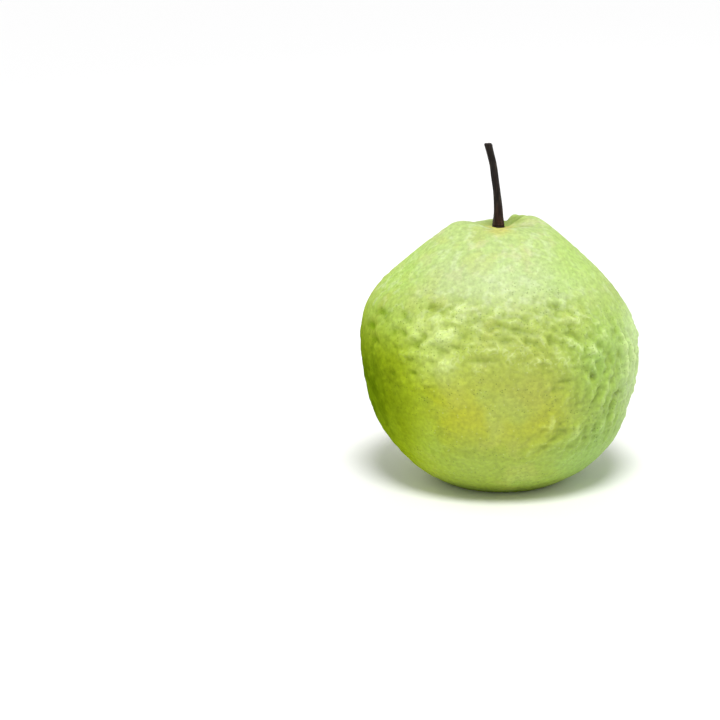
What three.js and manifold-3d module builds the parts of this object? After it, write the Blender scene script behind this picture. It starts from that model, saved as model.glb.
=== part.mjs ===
// A whole guava of the pale green, apple-shaped kind, standing on its blossom end: the fruit, the
// cut stem that it hung by, and the dried calyx that its flower left in the blossom-end hollow.
// Millimetres, +Z up, front towards -Y. The origin is the middle of the outline seen from above,
// on the surface that the fruit stands on.

import * as THREE from 'three';
import { mergeVertices } from 'three/addons/utils/BufferGeometryUtils.js';
import Module from 'manifold-3d';

// Driving dimensions, in millimetres.
const BODY_WIDTH = 92.8; // across the round body, before its swellings
const BODY_HEIGHT = 88; // from the resting ring to the rim round the stem
const STEM_LENGTH = 28;
const STEM_WIDTH = 2.4; // at its waist
const STEM_FOOT_WIDTH = 4.2;
const STEM_TOP_WIDTH = 2.7;
const STEM_LEAN = 3.4; // how far the cut end leans to the left of the foot
const STEM_ROOT_DEPTH = 1.4; // how deep the foot sits in the fruit
const CALYX_WIDTH = 12;
const CALYX_DEPTH = 6.2;
const SEPALS = 5;
const FIT_GAP = 0.3; // between pieces that touch

// Fineness of the faceted solids.
const FRUIT_SIDES = 106;
const FRUIT_ROWS = [[0, 11], [36, 32], [100, 13]]; // where each stretch starts, and its rows
const STEM_SIDES = 16;
const STEM_ROWS = 14;
const CALYX_SIDES = 40;
const AXIS_REACH = 0.01; // nearer the axis than this, the skin moves only up or down

// Half the fruit's upright section, from the stem's axis down to the middle of the blossom end:
// distance from the axis as a share of half the width, then height as a share of the height.
const MERIDIAN = [
  [0, 0.981], [0.07, 0.982], [0.14, 0.9875], [0.226, 0.994], [0.35, 0.978], [0.517, 0.916],
  [0.733, 0.8], [0.918, 0.666], [0.998, 0.528], [0.972, 0.375], [0.869, 0.21], [0.679, 0.08],
  [0.5, 0.014], [0.41, -0.006], [0.28, -0.006], [0.22, 0.026], [0.17, 0.066], [0.097, 0.086],
  [0, 0.09],
];

// Swellings, dents and folds of the skin. Each is a soft mound, or a dent where its rise is
// negative, at an azimuth in degrees (from the front towards the right, +X) and a distance down
// the skin from the stem's axis. It is turned by so many degrees from level, with its right end
// up, and is about twice its length long and twice its width across.
const SWELLINGS = [
  { azimuth: -88, down: 50, turn: 0, length: 22, width: 17, rise: 3.8 }, // left shoulder
  { azimuth: -92, down: 28, turn: 0, length: 14, width: 9, rise: 0.6 },
  { azimuth: 92, down: 28, turn: 0, length: 14, width: 9, rise: -0.6 },
  { azimuth: -90, down: 88, turn: 0, length: 20, width: 12, rise: 0.9 },
  { azimuth: 92, down: 82, turn: 0, length: 22, width: 14, rise: -0.4 }, // leaner low right
  { azimuth: 92, down: 104, turn: 0, length: 20, width: 12, rise: 0.9 },
  { azimuth: 150, down: 60, turn: 0, length: 24, width: 20, rise: -1.2 }, // flatter back
];
const STEM_LOBES = [
  { azimuth: -78, down: 15, turn: 0, length: 7, width: 7, rise: 1.8 },
  { azimuth: -145, down: 10, turn: 0, length: 6, width: 6, rise: -1.2 },
  { azimuth: 158, down: 12, turn: 0, length: 4.5, width: 5, rise: 1.3 },
  { azimuth: 122, down: 12, turn: 0, length: 6, width: 6, rise: 1.6 },
  { azimuth: -163, down: 12, turn: 0, length: 4, width: 5, rise: 0.3 },
  { azimuth: 15, down: 15, turn: 0, length: 7, width: 6, rise: 0.2 },
];
const STEM_CREASES = [
  { azimuth: 140, down: 8, turn: 75, length: 5, width: 1.2, rise: -1.2 },
  { azimuth: 152, down: 8, turn: 88, length: 5, width: 1.2, rise: -1 },
  { azimuth: 173, down: 11, turn: 90, length: 6, width: 1.8, rise: -1.9 },
  { azimuth: -112, down: 9, turn: 95, length: 5, width: 1.2, rise: -1.2 },
  { azimuth: 75, down: 8, turn: 85, length: 5, width: 1.8, rise: -0.7 },
  { azimuth: -20, down: 9, turn: 95, length: 4, width: 2, rise: -0.3 },
];
const DENTS = [ // above the belly and on both sides of it
  { azimuth: -36, down: 46, turn: 5, length: 2.5, width: 1.3, rise: -0.8 },
  { azimuth: -51, down: 51, turn: 15, length: 2.8, width: 1.8, rise: -0.9 },
  { azimuth: -67, down: 53, turn: 10, length: 4, width: 1.5, rise: -0.7 },
  { azimuth: -21, down: 43, turn: 15, length: 2, width: 1.3, rise: -0.7 },
  { azimuth: -36, down: 58, turn: 60, length: 2.8, width: 1.5, rise: -0.9 },
  { azimuth: -46, down: 57, turn: 0, length: 2.4, width: 1.8, rise: -0.5 },
  { azimuth: -70, down: 58, turn: 0, length: 3, width: 1.3, rise: -0.6 },
  { azimuth: -64, down: 62, turn: 0, length: 3, width: 1.3, rise: -0.5 },
  { azimuth: -11, down: 50, turn: -15, length: 3, width: 1.4, rise: -0.6 },
  { azimuth: -14, down: 55, turn: -10, length: 1.8, width: 1.3, rise: -0.5 },
  { azimuth: -26, down: 61, turn: 20, length: 3, width: 1.6, rise: -0.5 },
  { azimuth: -8, down: 62.5, turn: 5, length: 4.5, width: 1.3, rise: -0.8 },
  { azimuth: 2, down: 52, turn: 0, length: 2.4, width: 1.6, rise: -0.7 },
  { azimuth: 28, down: 46, turn: -20, length: 2.5, width: 1.4, rise: -0.9 },
  { azimuth: 22, down: 56.5, turn: -30, length: 3.4, width: 1.2, rise: -0.8 },
  { azimuth: 15, down: 58, turn: 0, length: 1.8, width: 1.6, rise: -0.8 },
  { azimuth: 34, down: 56, turn: -50, length: 3.4, width: 1.5, rise: -1.2 },
  { azimuth: 40, down: 57.5, turn: 0, length: 2, width: 1.2, rise: -0.8 },
  { azimuth: 45, down: 60.5, turn: -50, length: 3, width: 1.3, rise: -0.9 },
  { azimuth: 60, down: 58, turn: 0, length: 2.4, width: 1.4, rise: -0.5 },
  { azimuth: 40, down: 70, turn: -65, length: 2.8, width: 1.2, rise: -0.6 },
  { azimuth: 37, down: 77, turn: 85, length: 2.6, width: 1.2, rise: -0.7 },
  { azimuth: 32, down: 79, turn: 45, length: 3, width: 1.6, rise: -0.6 },
  { azimuth: 56, down: 78.5, turn: -5, length: 4, width: 1.5, rise: -0.8 },
];
const BUMPS = [
  { azimuth: -58, down: 58.5, turn: 5, length: 4, width: 1.8, rise: 0.8 },
  { azimuth: -46, down: 54.5, turn: 5, length: 3, width: 1.4, rise: 0.6 },
  { azimuth: -30, down: 50, turn: 15, length: 3.2, width: 1.6, rise: 0.5 },
  { azimuth: -29, down: 55, turn: 0, length: 3.4, width: 1.6, rise: 0.7 },
  { azimuth: -36, down: 52.5, turn: 40, length: 3, width: 1.2, rise: 0.5 },
  { azimuth: -20, down: 46.5, turn: 10, length: 3, width: 1.2, rise: 0.4 },
  { azimuth: -44, down: 63, turn: 0, length: 2, width: 1.3, rise: 0.5 },
  { azimuth: -39, down: 63, turn: 0, length: 2, width: 1.5, rise: 0.5 },
  { azimuth: -53, down: 66, turn: 0, length: 2.8, width: 1.6, rise: 0.5 },
  { azimuth: -49, down: 68, turn: 70, length: 1.8, width: 1.2, rise: 0.5 },
  { azimuth: 27, down: 50, turn: -5, length: 2.6, width: 1.2, rise: 0.5 },
  { azimuth: 35, down: 51, turn: -10, length: 2.8, width: 1.4, rise: 0.5 },
  { azimuth: 43, down: 63, turn: -40, length: 2.8, width: 1.6, rise: 0.5 },
  { azimuth: 52, down: 62, turn: 0, length: 2, width: 1.2, rise: 0.4 },
  { azimuth: 39, down: 66, turn: -60, length: 3, width: 1.2, rise: 0.4 },
  { azimuth: 29, down: 75, turn: 80, length: 2, width: 1.2, rise: 0.4 },
];
const FOLDS = [ // some arch over the belly, and one stands upright on the right
  { azimuth: -26, down: 68, turn: 30, length: 2, width: 1.4, rise: 0.5 },
  { azimuth: -23, down: 65, turn: 30, length: 3, width: 1.5, rise: 0.7 },
  { azimuth: -17, down: 62.5, turn: 35, length: 3.2, width: 1.2, rise: 0.7 },
  { azimuth: -9, down: 59.5, turn: 5, length: 5.5, width: 1.2, rise: 0.7 },
  { azimuth: 79, down: 66, turn: -90, length: 13, width: 1.2, rise: 0.7 },
];

// Level folds that turn into arcs round the smooth belly on the right, and lumps, are made with sums
// of standing waves. They are calmer to the left of the belly and at the sides, where they also
// start further down, and fade out towards both ends.
const BELLY = { azimuth: -4, down: 77, radius: 18.5 };
const CALM = { azimuth: -50, down: 92, radius: 22, share: 0.75 };
const ARCS_START = -14; // how far to the right of the axis the level folds start to arch
const ARCS_FULL = 12;
const FOLDS_SPACING = 6.6;
const FOLDS_WANDER = 1.8; // radians by which they stray
const FOLDS_RISE = 0.4;
const FOLDS_MEAN = 0.25; // as a share of their rise
const FOLDS_GONE = -1.6; // how low the lumps are where the folds break off, and where they are whole
const FOLDS_WHOLE = 1;
const WANDER = { seed: 11, waves: 16, spacing: 22, bandSpacing: 60 };
const LUMPS = { seed: 7, waves: 28, spacing: 8, bandSpacing: 9 };
const LUMPS_RISE = 0.17;
const RELIEF_START = 33; // down the skin from the stem's axis, as are the next three
const RELIEF_FULL = 51;
const RELIEF_FADE = 88;
const RELIEF_END = 108;
const SIDES_START = 14; // how much further down the relief starts at the sides
const SIDES_CALM = { left: 0.7, right: 0.4 }; // the share of it that is lost there

const wasm = await Module();
wasm.setup();

const { degToRad, smoothstep } = THREE.MathUtils;

// ---- Helpers ------------------------------------------------------------------------------

function toManifold(geometry) {
  const plain = geometry.clone();
  plain.deleteAttribute('normal');
  plain.deleteAttribute('uv');
  const closed = mergeVertices(plain);
  return new wasm.Manifold(new wasm.Mesh({
    numProp: 3,
    vertProperties: new Float32Array(closed.attributes.position.array),
    triVerts: new Uint32Array(closed.index.array),
  }));
}

function toGeometry(solid) {
  const { vertProperties, triVerts } = solid.getMesh();
  const geometry = new THREE.BufferGeometry();
  geometry.setAttribute('position', new THREE.BufferAttribute(vertProperties, 3));
  geometry.setIndex(new THREE.BufferAttribute(triVerts, 1));
  geometry.computeVertexNormals();
  return geometry;
}

// A closed solid turned about +Z. The profile runs from the bottom of the axis to its top.
function turned(profile, sides) {
  const geometry = new THREE.LatheGeometry(profile, sides);
  return geometry.rotateX(Math.PI / 2);
}

// Moves every vertex by a function of its place.
function reshape(geometry, moved) {
  const { position } = geometry.attributes;
  const vertex = new THREE.Vector3();
  for (let i = 0; i < position.count; i += 1) {
    moved(vertex.fromBufferAttribute(position, i), i);
    position.setXYZ(i, vertex.x, vertex.y, vertex.z);
  }
  return geometry;
}

// Evenly spread numbers from 0 to 1, the same on each run.
function* draws(seed) {
  let state = seed;
  while (true) {
    state = (Math.imul(state, 1664525) + 1013904223) >>> 0;
    yield state / 2 ** 32;
  }
}

// ---- The fruit's skin ---------------------------------------------------------------------

const meridian = new THREE.SplineCurve(
  MERIDIAN.map(([out, up]) => new THREE.Vector2(out * BODY_WIDTH / 2, up * BODY_HEIGHT)),
);
const meridianLength = meridian.getLength();

// A place on the plain round body and the directions there.
function placeOnBody(azimuth, down) {
  const share = down / meridianLength;
  const at = meridian.getPointAt(share);
  const slope = meridian.getTangentAt(share);
  const radial = new THREE.Vector3(Math.sin(azimuth), -Math.cos(azimuth), 0);
  return {
    point: radial.clone().multiplyScalar(at.x).setZ(at.y),
    right: new THREE.Vector3(Math.cos(azimuth), Math.sin(azimuth), 0),
    downhill: radial.clone().multiplyScalar(slope.x).setZ(slope.y),
    outward: radial.clone().multiplyScalar(-slope.y).setZ(slope.x),
  };
}

const forms = [...SWELLINGS, ...STEM_LOBES, ...STEM_CREASES, ...DENTS, ...BUMPS, ...FOLDS];
const formed = forms.map((form) => ({
  ...form,
  ...placeOnBody(degToRad(form.azimuth), form.down),
  cos: Math.cos(degToRad(form.turn)),
  sin: Math.sin(degToRad(form.turn)),
  reach: 1.5 * Math.max(form.length, form.width) + 4,
}));

// How far one mound or dent lifts the skin at a point of the plain body.
function liftOf(form, point) {
  const offset = point.clone().sub(form.point);
  const right = offset.dot(form.right);
  const down = offset.dot(form.downhill);
  const along = (right * form.cos - down * form.sin) / form.length;
  const across = (right * form.sin + down * form.cos) / form.width;
  const off = offset.dot(form.outward) / form.reach;
  return form.rise * Math.exp(-along * along - across * across - off * off);
}

function makeWaves({ seed, waves, spacing, bandSpacing }) {
  const draw = draws(seed);
  const next = () => draw.next().value;
  return Array.from({ length: waves }, () => {
    const height = 2 * next() - 1;
    const turn = 2 * Math.PI * next();
    const flat = Math.sqrt(1 - height * height);
    const pace = 2 * Math.PI / (spacing * (0.7 + 0.6 * next()));
    return {
      vector: new THREE.Vector3(flat * Math.cos(turn), flat * Math.sin(turn), height)
        .multiplyScalar(pace),
      bandPace: (2 * next() - 1) * 2 * Math.PI / bandSpacing,
      phase: 2 * Math.PI * next(),
    };
  });
}

const wanderWaves = makeWaves(WANDER);
const lumpWaves = makeWaves(LUMPS);
const belly = placeOnBody(degToRad(BELLY.azimuth), BELLY.down).point;
const calm = placeOnBody(degToRad(CALM.azimuth), CALM.down).point;

function sumWaves(waves, point, band) {
  const sum = waves.reduce(
    (total, wave) => total + Math.cos(wave.vector.dot(point) + wave.bandPace * band + wave.phase), 0,
  );
  return sum * Math.sqrt(2 / waves.length);
}

// How far the folds and lumps lift the skin.
function reliefAt(point, azimuth, down) {
  const arch = point.distanceTo(belly);
  const aside = point.distanceTo(calm);
  const side = Math.sin(azimuth) ** 4;
  const sideCalm = point.x < 0 ? SIDES_CALM.left : SIDES_CALM.right;
  const zone = smoothstep(down - SIDES_START * side, RELIEF_START, RELIEF_FULL)
    * (1 - smoothstep(down, RELIEF_FADE, RELIEF_END))
    * (1 - sideCalm * side)
    * (1 - Math.exp(-((arch / BELLY.radius) ** 8)))
    * (1 - CALM.share * Math.exp(-((aside / CALM.radius) ** 4)));
  const arched = smoothstep(point.x, ARCS_START, ARCS_FULL);
  const band = arched * arch + (1 - arched) * (BELLY.down - down);
  const phase = 2 * Math.PI * band / FOLDS_SPACING
    + FOLDS_WANDER * sumWaves(wanderWaves, point, band);
  const lumps = sumWaves(lumpWaves, point, band);
  const folds = (0.5 + 0.5 * Math.cos(phase)) ** 2 * smoothstep(lumps, FOLDS_GONE, FOLDS_WHOLE);
  return zone * (FOLDS_RISE * (folds - FOLDS_MEAN) + LUMPS_RISE * lumps);
}

function makeBody() {
  const downs = FRUIT_ROWS.flatMap(([start, rows], i) => {
    const end = FRUIT_ROWS[i + 1]?.[0] ?? meridianLength;
    return Array.from({ length: rows }, (_, row) => start + (end - start) * row / rows);
  });
  downs.push(meridianLength);
  downs.reverse();
  const profile = downs.map((down) => meridian.getPointAt(down / meridianLength));
  profile[0].x = 0;
  profile[profile.length - 1].x = 0;
  const geometry = turned(profile, FRUIT_SIDES);
  const { uv } = geometry.attributes;
  return reshape(geometry, (vertex, i) => {
    const down = downs[i % downs.length];
    const azimuth = (uv.getX(i) % 1) * 2 * Math.PI;
    const { outward } = placeOnBody(azimuth, down);
    if (down < AXIS_REACH || down > meridianLength - AXIS_REACH) outward.setX(0).setY(0).normalize();
    const lift = formed.reduce((total, form) => total + liftOf(form, vertex), 0)
      + reliefAt(vertex, azimuth, down);
    vertex.addScaledVector(outward, lift);
    vertex.z = Math.max(vertex.z, 0); // the small flat ring that the fruit stands on
  });
}

// ---- The stem -----------------------------------------------------------------------------

const STEM_FOOT = new THREE.Vector3(-0.9, 0, 86.6);

// Height above the foot as a share of the length, and width there.
const STEM_TAPER = [
  [0, STEM_FOOT_WIDTH], [0.06, 0.9 * STEM_FOOT_WIDTH], [0.16, 0.76 * STEM_FOOT_WIDTH],
  [0.4, 1.06 * STEM_WIDTH], [0.7, STEM_WIDTH], [0.93, 1.04 * STEM_WIDTH], [0.985, STEM_TOP_WIDTH],
];

const STEM_ROOT_RADIUS = 0.34 * STEM_FOOT_WIDTH;
const STEM_BEND = 2.2; // how late along its length the stem leans: 1 would be a straight slant
const CUT_HOLLOW = 0.14; // how far the middle of the cut end is sunk
const SOCKET_CLEARANCE = 3; // the socket's cutter reaches this far above the foot

function makeStem() {
  const taper = new THREE.SplineCurve(
    STEM_TAPER.map(([up, width]) => new THREE.Vector2(width / 2, up * STEM_LENGTH)),
  );
  const profile = [
    new THREE.Vector2(0, -STEM_ROOT_DEPTH),
    new THREE.Vector2(STEM_ROOT_RADIUS, -STEM_ROOT_DEPTH),
    ...taper.getPoints(STEM_ROWS),
    new THREE.Vector2(0.42 * STEM_TOP_WIDTH, STEM_LENGTH),
    new THREE.Vector2(0, STEM_LENGTH - CUT_HOLLOW),
  ];
  return reshape(turned(profile, STEM_SIDES), (vertex) => {
    const up = Math.max(vertex.z, 0) / STEM_LENGTH;
    vertex.x -= STEM_LEAN * up ** STEM_BEND;
    vertex.add(STEM_FOOT);
  });
}

// The room that the stem's foot takes in the fruit.
function makeStemSocket() {
  const floor = -STEM_ROOT_DEPTH - FIT_GAP;
  const mouth = STEM_FOOT_WIDTH / 2 + FIT_GAP;
  const profile = [
    new THREE.Vector2(0, floor),
    new THREE.Vector2(STEM_ROOT_RADIUS + FIT_GAP, floor),
    new THREE.Vector2(mouth, 0),
    new THREE.Vector2(mouth, SOCKET_CLEARANCE),
    new THREE.Vector2(0, SOCKET_CLEARANCE),
  ];
  return turned(profile, STEM_SIDES).translate(...STEM_FOOT.toArray());
}

// ---- The calyx ----------------------------------------------------------------------------

const CALYX_TOP = 0.09 * BODY_HEIGHT - FIT_GAP;

// From inside the cup round its rim to its top: distance from the axis as a share of half the
// width, then how far down as a share of the depth.
const CALYX_SECTION = [
  [0, 0.27], [0.3, 0.32], [0.52, 0.6], [0.66, 1], [0.78, 1], [0.74, 0.6], [0.62, 0.27],
  [0.4, 0.05], [0, 0],
];
const SEPAL_START = 0.3; // as a share of the depth
const SEPAL_CUT = 0.5; // how deep the cuts between the sepals are, likewise
const SEPAL_CURL = 0.28; // how much further out the tips reach

// A shallow cup, open downwards, whose rim is cut into sepals that curl outwards.
function makeCalyx() {
  const profile = CALYX_SECTION.map(
    ([out, drop]) => new THREE.Vector2(out * CALYX_WIDTH / 2, -drop * CALYX_DEPTH),
  );
  return reshape(turned(profile, CALYX_SIDES), (vertex) => {
    const tip = Math.max(0, (-vertex.z / CALYX_DEPTH - SEPAL_START) / (1 - SEPAL_START));
    const angle = Math.atan2(vertex.y, vertex.x);
    const sepal = Math.abs(Math.cos(SEPALS * angle / 2));
    const curl = 1 + SEPAL_CURL * sepal * tip * tip;
    vertex.x *= curl;
    vertex.y *= curl;
    vertex.z += CALYX_TOP + (1 - sepal) * tip * SEPAL_CUT * CALYX_DEPTH;
  });
}

// ---- Assembly -----------------------------------------------------------------------------

const skinMaterial = new THREE.MeshStandardMaterial({
  color: 0xb3d85a, roughness: 0.45, metalness: 0,
});
const stemMaterial = new THREE.MeshStandardMaterial({
  color: 0x2f2320, roughness: 0.7, metalness: 0,
});
const calyxMaterial = new THREE.MeshStandardMaterial({
  color: 0x4a3626, roughness: 0.85, metalness: 0,
});

const fruitSolid = toManifold(makeBody()).subtract(toManifold(makeStemSocket()));
const fruit = new THREE.Mesh(toGeometry(fruitSolid), skinMaterial);
fruit.name = 'fruit';
const stem = new THREE.Mesh(makeStem(), stemMaterial);
stem.name = 'stem';
const calyx = new THREE.Mesh(makeCalyx(), calyxMaterial);
calyx.name = 'calyx';

const guava = new THREE.Group();
guava.add(fruit, stem, calyx);

// The pieces are drawn about the stem's axis, and the whole stands over the origin.
const box = new THREE.Box3().setFromObject(guava);
const middle = box.getCenter(new THREE.Vector3());
guava.position.set(-middle.x, -middle.y, -box.min.z);

export default guava;
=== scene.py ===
"""A whole pale green guava on a white table: its finely lumped skin, woody stem and dried calyx."""

import math

import bpy
import numpy as np
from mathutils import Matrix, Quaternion, Vector


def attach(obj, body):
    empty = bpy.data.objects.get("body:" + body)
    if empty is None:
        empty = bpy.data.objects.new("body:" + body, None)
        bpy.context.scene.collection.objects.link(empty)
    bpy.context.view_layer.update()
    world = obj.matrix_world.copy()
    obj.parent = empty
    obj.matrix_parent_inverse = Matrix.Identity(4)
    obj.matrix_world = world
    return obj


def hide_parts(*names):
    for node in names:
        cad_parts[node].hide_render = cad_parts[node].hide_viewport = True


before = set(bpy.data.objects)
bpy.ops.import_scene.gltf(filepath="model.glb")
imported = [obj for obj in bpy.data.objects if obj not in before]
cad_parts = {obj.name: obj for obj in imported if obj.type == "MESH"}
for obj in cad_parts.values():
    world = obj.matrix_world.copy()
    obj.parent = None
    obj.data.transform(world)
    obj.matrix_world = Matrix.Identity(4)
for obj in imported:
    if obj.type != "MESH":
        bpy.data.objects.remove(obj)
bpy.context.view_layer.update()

MM = 0.001

# ---- Driving sizes, in millimetres, the same as the solids' ----------------------------------

BODY_WIDTH = 92.8  # across the round body, before its swellings
BODY_HEIGHT = 88  # from the resting ring to the rim round the stem
STEM_LENGTH = 28
STEM_WIDTH = 2.4  # at its waist
STEM_FOOT_WIDTH = 4.2
STEM_TOP_WIDTH = 2.7
STEM_LEAN = 3.4  # how far the cut end leans to the left of the foot
STEM_ROOT_DEPTH = 1.4  # how deep the foot sits in the fruit
CALYX_WIDTH = 12
CALYX_DEPTH = 6.2
SEPALS = 5

# The fine grid of the skin. Its rows are closer near the stem, where the socket's edge is sharp.
SKIN_SIDES = 400
SKIN_TOP = 7  # how far down the skin the close rows reach
SKIN_TOP_ROWS = 36
SKIN_ROWS = 200  # below them

# ---- The fruit's form ------------------------------------------------------------------------

# Half the upright section from the top to the blossom end: distance from the axis as a share of
# half the body's width, then height as a share of its height.
MERIDIAN = [
    (0, 0.981), (0.07, 0.982), (0.14, 0.9875), (0.226, 0.994), (0.35, 0.978), (0.517, 0.916),
    (0.733, 0.8), (0.918, 0.666), (0.998, 0.528), (0.972, 0.375), (0.869, 0.21), (0.679, 0.08),
    (0.5, 0.014), (0.41, -0.006), (0.28, -0.006), (0.22, 0.026), (0.17, 0.066), (0.097, 0.086),
    (0, 0.09),
]

FORM_DEPTH = 1.5  # how far in and out a form reaches, as a share of its longer measure
FORM_DEPTH_MORE = 4  # and in millimetres besides

# Each mound, or dent where its rise is negative: azimuth in degrees from the front towards +X,
# distance down the skin from the stem's axis, turn in degrees from level, length, width and rise.
SWELLINGS = [
    (-88, 50, 0, 22, 17, 3.8),
    (-92, 28, 0, 14, 9, 0.6),
    (92, 28, 0, 14, 9, -0.6),
    (-90, 88, 0, 20, 12, 0.9),
    (92, 82, 0, 22, 14, -0.4),
    (92, 104, 0, 20, 12, 0.9),
    (150, 60, 0, 24, 20, -1.2),
    # the lobes round the stem
    (-78, 15, 0, 7, 7, 1.8),
    (-145, 10, 0, 6, 6, -1.2),
    (158, 12, 0, 4.5, 5, 1.3),
    (122, 12, 0, 6, 6, 1.6),
    (-163, 12, 0, 4, 5, 0.3),
    (15, 15, 0, 7, 6, 0.2),
]
CREASES = [  # between the lobes
    (140, 8, 75, 5, 1.2, -1.2),
    (152, 8, 88, 5, 1.2, -1),
    (173, 11, 90, 6, 1.8, -1.9),
    (-112, 9, 95, 5, 1.2, -1.2),
    (75, 8, 85, 5, 1.8, -0.7),
    (-20, 9, 95, 4, 2, -0.3),
]
DENTS = [  # those on the left, then those on the right
    (-36, 46, 5, 2.5, 1.3, -0.8),
    (-51, 51, 15, 2.8, 1.8, -0.9),
    (-67, 53, 10, 4, 1.5, -0.7),
    (-21, 43, 15, 2, 1.3, -0.7),
    (-36, 58, 60, 2.8, 1.5, -0.9),
    (-46, 57, 0, 2.4, 1.8, -0.5),
    (-70, 58, 0, 3, 1.3, -0.6),
    (-64, 62, 0, 3, 1.3, -0.5),
    (-11, 50, -15, 3, 1.4, -0.6),
    (-14, 55, -10, 1.8, 1.3, -0.5),
    (-26, 61, 20, 3, 1.6, -0.5),
    (-8, 62.5, 5, 4.5, 1.3, -0.8),
    (2, 52, 0, 2.4, 1.6, -0.7),
    (28, 46, -20, 2.5, 1.4, -0.9),
    (22, 56.5, -30, 3.4, 1.2, -0.8),
    (15, 58, 0, 1.8, 1.6, -0.8),
    (34, 56, -50, 3.4, 1.5, -1.2),
    (40, 57.5, 0, 2, 1.2, -0.8),
    (45, 60.5, -50, 3, 1.3, -0.9),
    (60, 58, 0, 2.4, 1.4, -0.5),
    (40, 70, -65, 2.8, 1.2, -0.6),
    (37, 77, 85, 2.6, 1.2, -0.7),
    (32, 79, 45, 3, 1.6, -0.6),
    (56, 78.5, -5, 4, 1.5, -0.8),
]
BUMPS = [  # likewise
    (-58, 58.5, 5, 4, 1.8, 0.8),
    (-46, 54.5, 5, 3, 1.4, 0.6),
    (-30, 50, 15, 3.2, 1.6, 0.5),
    (-29, 55, 0, 3.4, 1.6, 0.7),
    (-36, 52.5, 40, 3, 1.2, 0.5),
    (-20, 46.5, 10, 3, 1.2, 0.4),
    (-44, 63, 0, 2, 1.3, 0.5),
    (-39, 63, 0, 2, 1.5, 0.5),
    (-53, 66, 0, 2.8, 1.6, 0.5),
    (-49, 68, 70, 1.8, 1.2, 0.5),
    (27, 50, -5, 2.6, 1.2, 0.5),
    (35, 51, -10, 2.8, 1.4, 0.5),
    (43, 63, -40, 2.8, 1.6, 0.5),
    (52, 62, 0, 2, 1.2, 0.4),
    (39, 66, -60, 3, 1.2, 0.4),
    (29, 75, 80, 2, 1.2, 0.4),
]
FOLDS = [  # those that arch over the belly, then the steep one on the far right
    (-26, 68, 30, 2, 1.4, 0.5),
    (-23, 65, 30, 3, 1.5, 0.7),
    (-17, 62.5, 35, 3.2, 1.2, 0.7),
    (-9, 59.5, 5, 5.5, 1.2, 0.7),
    (79, 66, -90, 13, 1.2, 0.7),
]
# The skin's finest dents, bumps and steep folds, which the solids leave out.
FINE_FORMS = [
    (-19, 59, 0, 2.2, 1, -0.6),
    (2, 56, 0, 2.4, 0.8, -0.6),
    (33, 47.5, -30, 2.2, 0.9, -0.5),
    (44, 44.5, -15, 2, 0.8, -0.5),
    (15, 38, -5, 1.8, 0.8, -0.4),
    (32, 40.5, -15, 2.6, 0.8, -0.4),
    (18, 43, 15, 2.2, 1.1, -0.3),
    (57, 65, 0, 1.2, 0.8, -0.4),
    (51, 66, -65, 3, 1, -0.4),
    (52, 71, 85, 1.4, 1, -0.4),
    (17, 67, 88, 4.5, 0.9, -0.35),
    (58, 66, -85, 5, 1, -0.7),
    (66, 66, -85, 8, 0.8, -1),
    (75, 70, -80, 8, 1, -0.9),
    (54, 84, 85, 4, 1, -0.5),
    (-22, 57, 0, 1.8, 0.9, 0.5),
    (-14, 57.5, 10, 2.6, 1, 0.7),
    (-9, 65.5, 5, 2.2, 1, 0.5),
    (-16, 70.5, 30, 2, 1, 0.4),
    (0, 59.5, -5, 2.4, 1, 0.6),
    (6, 61, 15, 3, 1, 0.7),
    (12, 58.5, -40, 2.8, 0.8, 0.6),
    (17, 61, -60, 3.5, 0.8, 0.4),
    (18, 53, -5, 2, 1, 0.6),
    (22, 61, -55, 3.5, 0.8, 0.4),
    (29, 43.5, -5, 2.6, 1, 0.4),
    (32, 59, -45, 4.5, 1, 0.8),
    (34, 72.5, 65, 3, 1, 0.5),
    (47, 76, 75, 4.5, 0.9, 1),
    (62, 65, -88, 8.5, 0.9, 1.3),
    (63, 84, 85, 6, 1, 0.6),
    (70, 68, -75, 6, 0.9, 1.1),
]

# Level folds that turn into arcs round the smooth belly on the right, and lumps, made with sums of
# waves. The higher the EDGE of a patch, the more sharply it ends.
BELLY = (-4, 77)  # azimuth and distance down of its middle, in the lower front
BELLY_RADIUS = 18.5
BELLY_EDGE = 8
CALM = (-50, 92)  # the middle of a calmer patch to its left
CALM_RADIUS = 22
CALM_EDGE = 4
CALM_SHARE = 0.75  # of the relief is lost there
ARCS_START = -14  # how far to the right of the axis the level folds start to arch
ARCS_FULL = 12
FOLDS_SPACING = 6.6
FOLDS_WANDER = 1.8  # radians by which they stray
FOLDS_RISE = 0.4
FOLDS_MEAN = 0.25  # as a share of their rise
FOLDS_GONE = -1.6  # how low the lumps are where the folds break off, and where they are whole
FOLDS_WHOLE = 1
WANDER = {"seed": 11, "waves": 16, "spacing": 22, "band_spacing": 60}
LUMPS = {"seed": 7, "waves": 28, "spacing": 8, "band_spacing": 9}
LUMPS_RISE = 0.17
RELIEF_START = 33  # down the skin from the stem's axis, as are the next three
RELIEF_FULL = 51
RELIEF_FADE = 88
RELIEF_END = 108
SIDES_START = 14  # how much further down the relief starts at the sides
SIDES_CALM = (0.7, 0.4)  # the share of it that is lost at the left and at the right
SIDES_EDGE = 4  # the higher, the narrower the sides
# Wrinkles and ripples, which the solids leave out.
WRINKLES = {"seed": 19, "waves": 32, "spacing": 4.8, "band_spacing": 3.8}
WRINKLES_RISE = 0.2
RIPPLES = {"seed": 31, "waves": 40, "spacing": 2.4, "band_spacing": 8}
RIPPLES_STRETCH = 2  # how many times longer than high they are
RIPPLES_RISE = 0.16
RIPPLES_EVERYWHERE = 0.3  # the share of them on the smooth skin


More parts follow.
